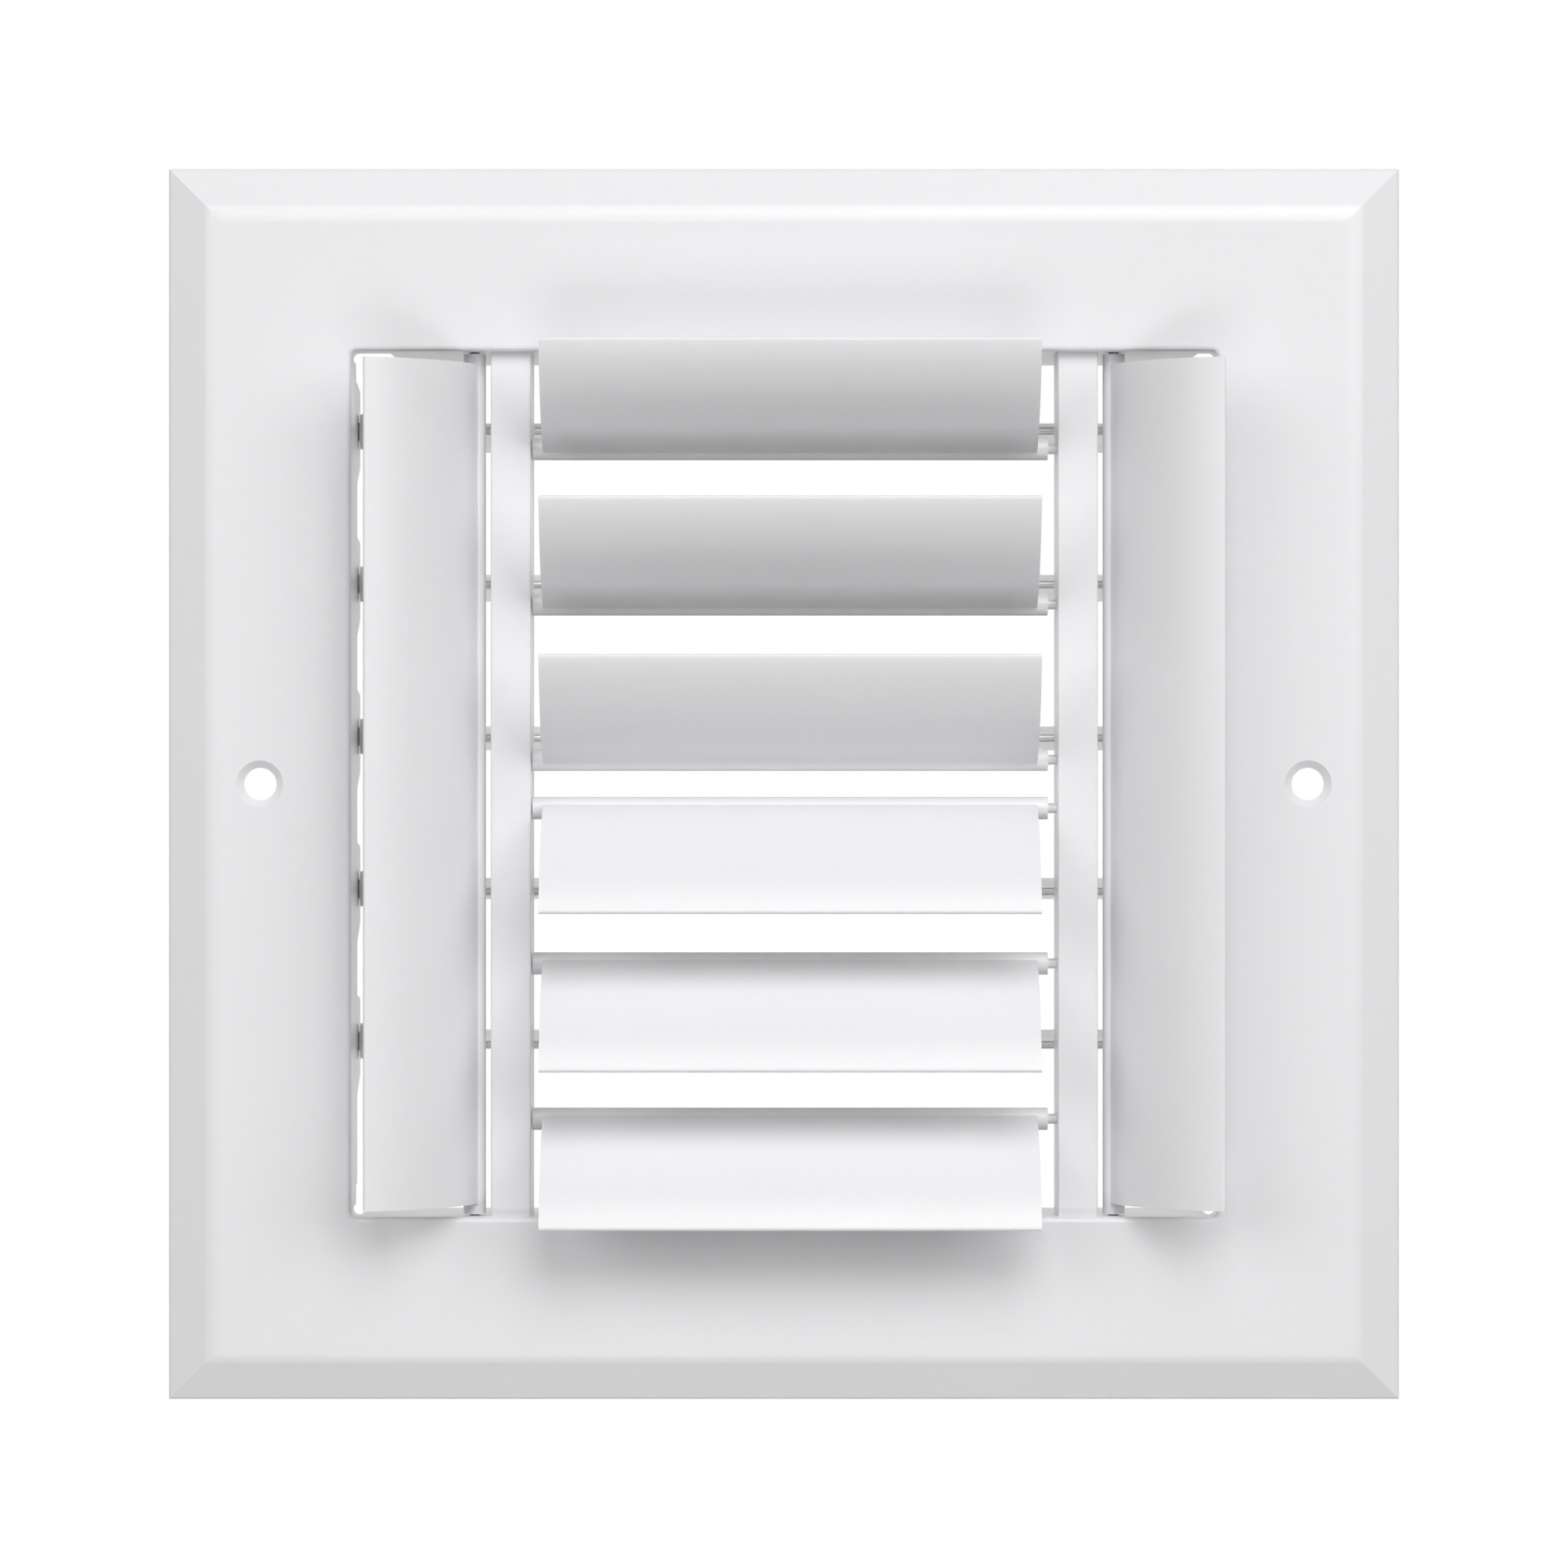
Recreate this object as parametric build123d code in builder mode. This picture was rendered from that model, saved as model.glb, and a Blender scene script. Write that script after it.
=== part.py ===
from build123d import *

import os
from math import atan2, cos, degrees, hypot, radians, sin, tan

# Four-way register with curved adjustable blades and a multi-shutter damper.
# X is to the right, Y goes into the wall and Z is up. The origin is at the middle of the
# duct opening, on the wall plane. Sizes are in millimetres and angles in degrees.

# Face frame, one pressed sheet
frame_side = 197.6
opening_side = 138.6
sheet = 0.8
rim_depth = 5.0
rim_edge = 1.2
rim_round = 0.6
frame_corner = 1.2
bevel_width = 7.4
bevel_blend = 6.0
lip_radius = 0.9
opening_corner = 1.0

# Mounting screw holes in the face, pressed in as dimples
screw_spacing = 167.8
screw_hole = 5.2
screw_sink = 7.54
dimple_rim = 0.5
dimple_depth = 0.8

# Neck behind the face: a closed collar, then one flap on each side
neck_lean = 1.17
collar_depth = 9.1
top_flap_depth = 50.5
top_flap_length = 130.4
bottom_flap_depth = 31.8
side_flap_depth = 17.5
rail_depth = 21.5
rail_half = 65.2
ear_depth = 31.8
ear_above = 7.6
ear_below = 8.6
ear_slant_above = 0.7
ear_slant_below = 3.0
ear_round = 1.0

# Mullions, extruded bars that stand between the top and bottom walls of the neck
cassette_shift = 1.65
mullion_gap = 84.5
mullion_width = 6.45
mullion_depth = 13.5
mullion_setback = 2.5
mullion_wall = 1.2
mullion_round = 1.0
hollow_depth = 5.0
port_setback = 8.9
channel_depth = 1.9

# Screws that hold the mullions
mullion_screw = 2.6
mullion_screw_grip = 8.0
mullion_screw_head = 5.2
mullion_screw_head_height = 1.7
mullion_screw_play = 0.15

# Curved blades: a bowed sheet on a round barrel
blades_each_way = 3
blade_pitch = 25.0
middle_gap = 7.78
pivot_depth = 6.0
barrel = 3.6
blade_sheet = 0.8
blade_reach = 16.54
blade_rise = 20.8
blade_root_angle = 75.0
blade_inset = 1.72
blade_left_gap = 0.15
blade_right_gap = 1.5
side_blade_gap = 0.93
side_blade_play = 0.3

# Blade pins
pin = 1.6
pin_grip = 6.0
pin_tail = 0.6
pin_clearance = 0.06

# Damper blades: sheet folded back over the nose, swinging on bushes in the ears
damper_count = 5
damper_pitch = 25.0
damper_top = 57.8
damper_depth = 26.0
damper_sheet = 0.5
damper_nose = 8.3
nose_drop = 0.3
nose_radius = 0.65
damper_tail = 24.6
damper_slope = 2.13
hem_length = 12.85
hem_slope = 6.0

# Damper bushes
bush_flange = 5.8
bush_flange_thickness = 1.3
bush_shoulder = 0.2
bush_stub = 3.0
bush_stub_tail = 0.7
bush_play = 0.35
bush_clearance = 0.08
tongue_half = 3.0
tongue_length = 8.0

# Tie bar that swings the damper blades together, with a lug on each blade
tie_inset = 7.0
tie_thickness = 0.8
tie_width = 4.4
crank_reach = 17.0
crank_rise = 2.6
lug_half = 1.9
lug_gap = 0.1
notch_margin = 0.6
notch_ahead = 3.6
rivet = 1.8
rivet_head = 3.0
rivet_head_height = 0.6
rivet_clearance = 0.05

# Lever in place of one bush
lever_blade = 3
lever_arm_gap = 0.1
lever_arm_thickness = 0.9
lever_arm_width = 4.0
lever_reach = 19.0
lever_pad_thickness = 1.2
lever_pad_width = 7.6
lever_pad_up = 0.6
lever_pad_down = 4.0

# Derived places
face_y = -rim_depth
lean_sin = sin(radians(neck_lean))
lean_cos = cos(radians(neck_lean))
lean_slope = tan(radians(neck_lean))
wall_offset = sheet / lean_cos
face_plane = Plane.XZ.offset(rim_depth)
pivot_y = face_y + pivot_depth
damper_y = face_y + damper_depth
damper_heights = [damper_top - k * damper_pitch for k in range(damper_count)]


def neck_half(depth):
    """Half the clear width of the neck at a depth behind the face."""
    return opening_side / 2 + depth * lean_slope


mullion_x = [cassette_shift + side * (mullion_gap + mullion_width) / 2 for side in (-1, 1)]
mullion_front = face_y + mullion_setback
port_y = mullion_front + port_setback
side_pivot_reach = mullion_gap / 2 + mullion_width + side_blade_gap + barrel / 2
side_pivot_x = [cassette_shift + side * side_pivot_reach for side in (-1, 1)]

os.makedirs("parts", exist_ok=True)

# Face frame
collar_back = Plane.XZ.offset(rim_depth - collar_depth)
collar_side = 2 * neck_half(collar_depth)
flap_start = collar_depth - sheet
flat_half = opening_side / 2 - opening_corner

with BuildPart() as face_frame:
    # Pan with an upright rim and a bevel up to the flat face
    with BuildSketch(Plane.XZ):
        Rectangle(frame_side, frame_side)
    extrude(amount=rim_edge)
    with BuildSketch(Plane.XZ.offset(rim_edge)):
        Rectangle(frame_side, frame_side)
    with BuildSketch(face_plane):
        Rectangle(frame_side - 2 * bevel_width, frame_side - 2 * bevel_width)
    loft()
    offset(amount=-sheet, openings=face_frame.faces().sort_by(Axis.Y)[-1])
    fillet(face_frame.edges().filter_by_position(Axis.Y, face_y, face_y), bevel_blend)
    rim_line = face_frame.edges().filter_by_position(Axis.Y, -rim_edge, -rim_edge)
    fillet(rim_line.filter_by(GeomType.LINE), rim_round)

    # Collar round the opening, leaning outwards as it goes back
    with BuildSketch(face_plane):
        RectangleRounded(
            opening_side + 2 * wall_offset, opening_side + 2 * wall_offset, opening_corner + sheet
        )
    with BuildSketch(collar_back):
        RectangleRounded(
            collar_side + 2 * wall_offset, collar_side + 2 * wall_offset, opening_corner + sheet
        )
    loft(ruled=True)
    with BuildSketch(face_plane):
        RectangleRounded(opening_side, opening_side, opening_corner)
    with BuildSketch(collar_back):
        RectangleRounded(collar_side, collar_side, opening_corner)
    loft(ruled=True, mode=Mode.SUBTRACT)
    lip = face_frame.faces().sort_by(Axis.Y)[0].inner_wires()[0]
    fillet(lip.edges(), lip_radius)

    # Top and bottom flaps
    for up, depth, middle, length in (
        (1, top_flap_depth, cassette_shift, top_flap_length),
        (-1, bottom_flap_depth, 0, 2 * flat_half),
    ):
        wall = Plane(
            origin=(0, face_y, up * opening_side / 2),
            x_dir=(0, lean_cos, up * lean_sin),
            z_dir=(0, -lean_sin, up * lean_cos),
        )
        with BuildSketch(wall):
            with Locations(((flap_start + depth) / 2, -up * middle)):
                Rectangle(depth - flap_start, length)
        extrude(amount=sheet)

    # Side flaps, each with a rail and one ear for every damper blade
    for side in (-1, 1):
        wall = Plane(
            origin=(side * opening_side / 2, face_y, 0),
            x_dir=(side * lean_sin, lean_cos, 0),
            z_dir=(side * lean_cos, -lean_sin, 0),
        )
        with BuildSketch(wall):
            with Locations(((flap_start + side_flap_depth) / 2, 0)):
                Rectangle(side_flap_depth - flap_start, 2 * flat_half)
            with Locations(((flap_start + rail_depth) / 2, 0)):
                Rectangle(rail_depth - flap_start, 2 * rail_half)
            for height in damper_heights:
                with BuildLine():
                    Polyline(
                        (side_flap_depth, side * (height + ear_above)),
                        (rail_depth, side * (height + ear_above)),
                        (ear_depth, side * (height + ear_above - ear_slant_above)),
                        (ear_depth, side * (height - ear_below + ear_slant_below)),
                        (rail_depth, side * (height - ear_below)),
                        (side_flap_depth, side * (height - ear_below)),
                        close=True,
                    )
                make_face()
        extrude(amount=sheet)
    ear_corners = (
        face_frame.edges()
        .filter_by(lambda edge: abs(edge.length - sheet) < 0.01 * sheet)
        .filter_by_position(Axis.Y, face_y + ear_depth - sheet, face_y + ear_depth + sheet)
        .filter_by_position(Axis.Z, -flat_half, flat_half)
    )
    fillet(ear_corners, ear_round)

    # Pivot holes of the side blades, mullion screw holes and damper bush holes
    with BuildSketch(Plane.XY):
        with Locations(*[(x, pivot_y) for x in side_pivot_x]):
            Circle(pin / 2 + pin_clearance)
        with Locations(*[(x, port_y) for x in mullion_x]):
            Circle(mullion_screw / 2 + mullion_screw_play)
    extrude(amount=neck_half(collar_depth) + 2 * sheet, both=True, mode=Mode.SUBTRACT)
    with BuildSketch(Plane.YZ):
        with Locations(*[(damper_y, height) for height in damper_heights]):
            Circle(bush_stub / 2 + bush_clearance)
    extrude(amount=neck_half(damper_depth) + 2 * sheet, both=True, mode=Mode.SUBTRACT)

    # Dimpled screw holes in the face
    with BuildSketch(Plane((0, face_y + sheet, 0), x_dir=(1, 0, 0), z_dir=(0, 1, 0))):
        with GridLocations(screw_spacing, 0, 2, 1):
            Circle(screw_sink / 2 + dimple_rim)
    extrude(amount=dimple_depth, taper=45)
    with Locations(face_plane):
        with GridLocations(screw_spacing, 0, 2, 1):
            CounterSinkHole(screw_hole / 2, screw_sink / 2, rim_depth, counter_sink_angle=90)
face_frame.part.label = "face_frame"
export_step(face_frame.part, "parts/face_frame.step")

# Mullions, cut to the lean of the neck at both ends
mullion_back_depth = mullion_setback + mullion_depth
blade_heights = [middle_gap / 2 + blade_pitch * k for k in range(blades_each_way)]
blade_heights = sorted(blade_heights + [-height for height in blade_heights], reverse=True)

for side, x in zip((-1, 1), mullion_x):
    with BuildPart() as mullion:
        with BuildSketch(Plane.XY) as section:
            with Locations((x, mullion_front + mullion_depth / 2)):
                Rectangle(mullion_width, mullion_depth)
            fillet(section.vertices().group_by(Axis.Y)[0], mullion_round)
            with Locations((x, mullion_front + mullion_wall + hollow_depth / 2)):
                Rectangle(mullion_width - 2 * mullion_wall, hollow_depth, mode=Mode.SUBTRACT)
            with Locations((x, mullion_front + mullion_depth - channel_depth / 2)):
                Rectangle(mullion_width - 2 * mullion_wall, channel_depth, mode=Mode.SUBTRACT)
            with Locations((x, port_y)):
                Circle(mullion_screw / 2, mode=Mode.SUBTRACT)
        extrude(amount=neck_half(mullion_back_depth) + sheet, both=True)
        with BuildSketch(face_plane):
            Rectangle(opening_side, opening_side)
        with BuildSketch(Plane.XZ.offset(rim_depth - mullion_back_depth)):
            Rectangle(2 * neck_half(mullion_back_depth), 2 * neck_half(mullion_back_depth))
        loft(mode=Mode.INTERSECT)
        with BuildSketch(Plane.YZ.offset(x)):
            with Locations(*[(pivot_y, height) for height in blade_heights]):
                Circle(pin / 2 + pin_clearance)
        extrude(amount=-side * mullion_width, mode=Mode.SUBTRACT)
    name = "mullion_left" if side < 0 else "mullion_right"
    mullion.part.label = name
    export_step(mullion.part, f"parts/{name}.step")

# Mullion screws: one through the top wall and one through the bottom wall for each bar
port_depth = mullion_setback + port_setback
screw_seat = neck_half(port_depth + mullion_screw_head / 2) + wall_offset

with BuildPart() as mullion_screws:
    for up in (-1, 1):
        seat_plane = Plane((0, 0, up * screw_seat), x_dir=(1, 0, 0), z_dir=(0, 0, up))
        with BuildSketch(seat_plane):
            with Locations(*[(x, up * port_y) for x in mullion_x]):
                Circle(mullion_screw_head / 2)
        extrude(amount=mullion_screw_head_height)
        head_top = mullion_screws.faces().filter_by(Axis.Z).group_by(Axis.Z)[-1 if up > 0 else 0]
        fillet(head_top.edges(), mullion_screw_head_height / 2)
        with BuildSketch(seat_plane):
            with Locations(*[(x, up * port_y) for x in mullion_x]):
                Circle(mullion_screw / 2)
        extrude(amount=-(sheet + mullion_screw_grip))
mullion_screws.part.label = "mullion_screws"
export_step(mullion_screws.part, "parts/mullion_screws.step")

# Curved blades. A section plane stands at one end of the barrel, on the pivot, with its
# x axis outwards from the middle of the face and its y axis forwards, out of the wall.
blade_start = cassette_shift - mullion_gap / 2 + blade_left_gap
blade_end = cassette_shift + mullion_gap / 2 - blade_right_gap
left_reach = blade_left_gap + mullion_wall + pin_tail
right_reach = blade_right_gap + mullion_wall + pin_tail
side_blade_half = neck_half(pivot_depth) - side_blade_play
side_reach = side_blade_play + sheet + pin_tail

blades = []
for number, height in enumerate(blade_heights, 1):
    if height > 0:
        plane = Plane((blade_start, pivot_y, height), x_dir=(0, 0, 1), z_dir=(1, 0, 0))
        reaches = (left_reach, right_reach)
    else:
        plane = Plane((blade_end, pivot_y, height), x_dir=(0, 0, -1), z_dir=(-1, 0, 0))
        reaches = (right_reach, left_reach)
    blades.append((f"centre_blade_{number}", plane, blade_end - blade_start, reaches))
for name, side, x in (("left", -1, side_pivot_x[0]), ("right", 1, side_pivot_x[1])):
    plane = Plane((x, pivot_y, side * side_blade_half), x_dir=(side, 0, 0), z_dir=(0, 0, -side))
    blades.append((f"side_blade_{name}", plane, 2 * side_blade_half, (side_reach, side_reach)))

# The front surface of a blade is one arc from the front of the barrel to the blade's edge
chord = hypot(blade_reach, blade_rise - barrel / 2)
chord_angle = degrees(atan2(blade_rise - barrel / 2, blade_reach))
blade_turn = 2 * (blade_root_angle - chord_angle)
bow_radius = chord / (2 * sin(radians(blade_turn / 2)))
bow_centre = (
    bow_radius * sin(radians(blade_root_angle)),
    barrel / 2 - bow_radius * cos(radians(blade_root_angle)),
)
edge_angle = 90 + blade_root_angle - blade_turn
edge_angle_at_tip = edge_angle - degrees(blade_sheet / 2 / bow_radius)
edge_radius = bow_radius - blade_sheet / 2
blade_tip = (
    bow_centre[0] + edge_radius * cos(radians(edge_angle_at_tip)),
    bow_centre[1] + edge_radius * sin(radians(edge_angle_at_tip)),
)

for name, plane, length, reaches in blades:
    with BuildPart() as blade:
        with BuildSketch(plane.offset(blade_inset)):
            with BuildLine():
                front = CenterArc(bow_centre, bow_radius, 90 + blade_root_angle, -blade_turn)
                back = CenterArc(
                    bow_centre, bow_radius - blade_sheet, 90 + blade_root_angle, -blade_turn
                )
                Line(front @ 0, back @ 0)
                ThreePointArc(front @ 1, blade_tip, back @ 1)
            make_face()
        extrude(amount=length - 2 * blade_inset)
        with BuildSketch(plane):
            Circle(barrel / 2)
        extrude(amount=length)
        with BuildSketch(plane):
            Circle(pin / 2)
        extrude(amount=length, mode=Mode.SUBTRACT)
    blade.part.label = name
    export_step(blade.part, f"parts/{name}.step")

    with BuildPart() as pins:
        with BuildSketch(plane.offset(-reaches[0])):
            Circle(pin / 2)
        extrude(amount=reaches[0] + pin_grip)
        with BuildSketch(plane.offset(length - pin_grip)):
            Circle(pin / 2)
        extrude(amount=pin_grip + reaches[1])
    pins.part.label = f"{name}_pins"
    export_step(pins.part, f"parts/{name}_pins.step")

# Damper blades. In their section, x goes back from the pivot and y goes up.
bush_seat = neck_half(damper_depth) - bush_play - bush_flange_thickness
damper_half = bush_seat - bush_shoulder
nose = Vector(nose_radius - damper_nose, -nose_drop)
hem_inner = nose_radius - damper_sheet
tail_direction = Vector(cos(radians(damper_slope)), -sin(radians(damper_slope)))
tail_normal = Vector(-sin(radians(damper_slope)), -cos(radians(damper_slope)))
hem_direction = Vector(cos(radians(hem_slope)), sin(radians(hem_slope)))
hem_normal = Vector(-sin(radians(hem_slope)), cos(radians(hem_slope)))
tail_length = damper_tail + damper_nose - nose_radius


def on_tail(radius, distance):
    """A point on the long leg, at a radius from the nose's centre and a distance behind it."""
    return nose + tail_normal * radius + tail_direction * distance


def on_hem(radius, distance):
    """A point on the folded leg, at a radius from the nose's centre and a distance behind it."""
    return nose + hem_normal * radius + hem_direction * distance


tie_outer = damper_half - tie_inset
notch_inner = tie_outer - tie_thickness - notch_margin
lug_inner = tie_outer + lug_gap
lug_foot = on_tail(nose_radius - damper_sheet / 2, crank_reach - nose.X)

for number, height in enumerate(damper_heights, 1):
    section_plane = Plane((0, damper_y, height), x_dir=(0, 1, 0), z_dir=(1, 0, 0))
    with BuildPart() as damper_blade:
        with BuildSketch(section_plane):
            with BuildLine():
                Line(on_tail(nose_radius, tail_length), on_tail(nose_radius, 0))
                ThreePointArc(
                    on_tail(nose_radius, 0), nose - (nose_radius, 0), on_hem(nose_radius, 0)
                )
                Line(on_hem(nose_radius, 0), on_hem(nose_radius, hem_length))
                Line(on_hem(nose_radius, hem_length), on_hem(hem_inner, hem_length))
                Line(on_hem(hem_inner, hem_length), on_hem(hem_inner, 0))
                ThreePointArc(on_hem(hem_inner, 0), nose - (hem_inner, 0), on_tail(hem_inner, 0))
                Line(on_tail(hem_inner, 0), on_tail(hem_inner, tail_length))
                Line(on_tail(hem_inner, tail_length), on_tail(nose_radius, tail_length))
            make_face()
        extrude(amount=damper_half, both=True)

        # Notch that the tie bar passes through, and the lug bent up beside it
        with BuildSketch(section_plane.offset(notch_inner)):
            with Locations((crank_reach - notch_ahead, 0)):
                Rectangle(
                    damper_tail, damper_nose + damper_tail, align=(Align.MIN, Align.CENTER)
                )
        extrude(amount=lug_inner - notch_inner, mode=Mode.SUBTRACT)
        with BuildSketch(section_plane.offset(lug_inner)):
            with BuildLine():
                arch = CenterArc((crank_reach, crank_rise), lug_half, 0, 180)
                Polyline(
                    arch @ 1,
                    (crank_reach - lug_half, lug_foot.Y),
                    (crank_reach + lug_half, lug_foot.Y),
                    arch @ 0,
                )
            make_face()
            with Locations((crank_reach, crank_rise)):
                Circle(rivet / 2 + rivet_clearance, mode=Mode.SUBTRACT)
        extrude(amount=damper_sheet)
    damper_blade.part.label = f"damper_blade_{number}"
    export_step(damper_blade.part, f"parts/damper_blade_{number}.step")

    # Bushes: a tongue in the fold, a flange against the ear and a stub through it.
    # The lever takes the place of the right bush on its blade.
    ends = (-1,) if number == lever_blade else (-1, 1)
    for piece, sides in (("damper_bushes", ends), ("damper_lever", (1,))):
        if piece == "damper_lever" and number != lever_blade:
            continue
        with BuildPart() as bush:
            for side in sides:
                end_plane = section_plane.offset(side * bush_seat)
                with BuildSketch(end_plane):
                    with BuildLine():
                        Polyline(
                            on_tail(hem_inner, -nose.X - tongue_half),
                            on_tail(hem_inner, -nose.X + tongue_half),
                            on_hem(hem_inner, -nose.X + tongue_half),
                            on_hem(hem_inner, -nose.X - tongue_half),
                            close=True,
                        )
                    make_face()
                extrude(amount=-side * (bush_shoulder + tongue_length))
                with BuildSketch(end_plane):
                    Circle(bush_flange / 2)
                extrude(amount=side * bush_flange_thickness)
                with BuildSketch(end_plane):
                    Circle(bush_stub / 2)
                extrude(
                    amount=side * (bush_flange_thickness + bush_play + sheet + bush_stub_tail)
                )
                if piece == "damper_lever":
                    with BuildSketch(end_plane.offset(lever_arm_gap)):
                        Rectangle(lever_reach, lever_arm_width, align=(Align.MAX, Align.CENTER))
                    extrude(amount=lever_arm_thickness)
                    with BuildSketch(end_plane.offset(lever_arm_gap + lever_arm_thickness)):
                        with Locations((-lever_reach, (lever_pad_up - lever_pad_down) / 2)):
                            Rectangle(
                                lever_pad_thickness,
                                lever_pad_up + lever_pad_down,
                                align=(Align.MAX, Align.CENTER),
                            )
                    extrude(amount=-lever_pad_width)
        name = piece if piece == "damper_lever" else f"{piece}_{number}"
        bush.part.label = name
        export_step(bush.part, f"parts/{name}.step")

# Tie bar with a rivet at each lug
crank_y = damper_y + crank_reach
crank_heights = [height + crank_rise for height in damper_heights]

with BuildPart() as tie_bar:
    with BuildSketch(Plane.YZ.offset(tie_outer - tie_thickness)):
        with Locations((crank_y, (crank_heights[0] + crank_heights[-1]) / 2)):
            SlotCenterToCenter(crank_heights[0] - crank_heights[-1], tie_width, rotation=90)
        with Locations(*[(crank_y, height) for height in crank_heights]):
            Circle(rivet / 2, mode=Mode.SUBTRACT)
    extrude(amount=tie_thickness)
tie_bar.part.label = "tie_bar"
export_step(tie_bar.part, "parts/tie_bar.step")

rivet_tail_start = lug_inner + damper_sheet + lug_gap
with BuildPart() as tie_rivets:
    for start, end, width in (
        (tie_outer - tie_thickness - rivet_head_height, tie_outer - tie_thickness, rivet_head),
        (tie_outer - tie_thickness, rivet_tail_start, rivet),
        (rivet_tail_start, rivet_tail_start + rivet_head_height, rivet_head),
    ):
        with BuildSketch(Plane.YZ.offset(start)):
            with Locations(*[(crank_y, height) for height in crank_heights]):
                Circle(width / 2)
        extrude(amount=end - start)
tie_rivets.part.label = "tie_rivets"
export_step(tie_rivets.part, "parts/tie_rivets.step")
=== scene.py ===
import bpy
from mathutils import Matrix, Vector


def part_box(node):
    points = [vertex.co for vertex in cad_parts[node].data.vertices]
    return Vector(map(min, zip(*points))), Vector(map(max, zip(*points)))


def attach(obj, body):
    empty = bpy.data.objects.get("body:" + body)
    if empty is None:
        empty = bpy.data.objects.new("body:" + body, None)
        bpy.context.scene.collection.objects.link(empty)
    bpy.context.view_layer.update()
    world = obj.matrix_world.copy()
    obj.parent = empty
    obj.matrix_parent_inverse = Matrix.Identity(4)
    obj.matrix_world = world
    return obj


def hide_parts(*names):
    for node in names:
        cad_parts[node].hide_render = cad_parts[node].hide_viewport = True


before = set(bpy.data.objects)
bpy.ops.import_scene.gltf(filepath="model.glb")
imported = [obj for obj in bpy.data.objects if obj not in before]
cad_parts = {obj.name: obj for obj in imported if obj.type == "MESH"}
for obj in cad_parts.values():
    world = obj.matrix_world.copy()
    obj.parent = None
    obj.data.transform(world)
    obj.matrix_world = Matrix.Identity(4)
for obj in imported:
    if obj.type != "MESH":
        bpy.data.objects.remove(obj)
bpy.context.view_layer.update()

import logging
import math
from dataclasses import dataclass, field, replace
from enum import Enum
from typing import Callable

import bpy
from mathutils import Vector

log = logging.getLogger("vent_register")

MM = 0.001
PHOTO_PIXELS = 1932
PIXELS_PER_MM = 7.70  # in the plane of the face
SMOOTH_ANGLE = math.radians(35)
FACING = 0.9  # least part of a face's normal along the way it is said to face


class Slot(Enum):
    """The record's material slots."""

    WHITE_COAT = "white_coat"
    MILL_ALUMINIUM = "mill_aluminium"
    GREY_NYLON = "grey_nylon"
    ZINC_STEEL = "zinc_steel"


class Group(Enum):
    """Shader node groups that several finishes share."""

    MOTTLE = "soft_mottle"
    ORANGE_PEEL = "orange_peel"
    ROLLED_STREAKS = "rolled_streaks"


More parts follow.
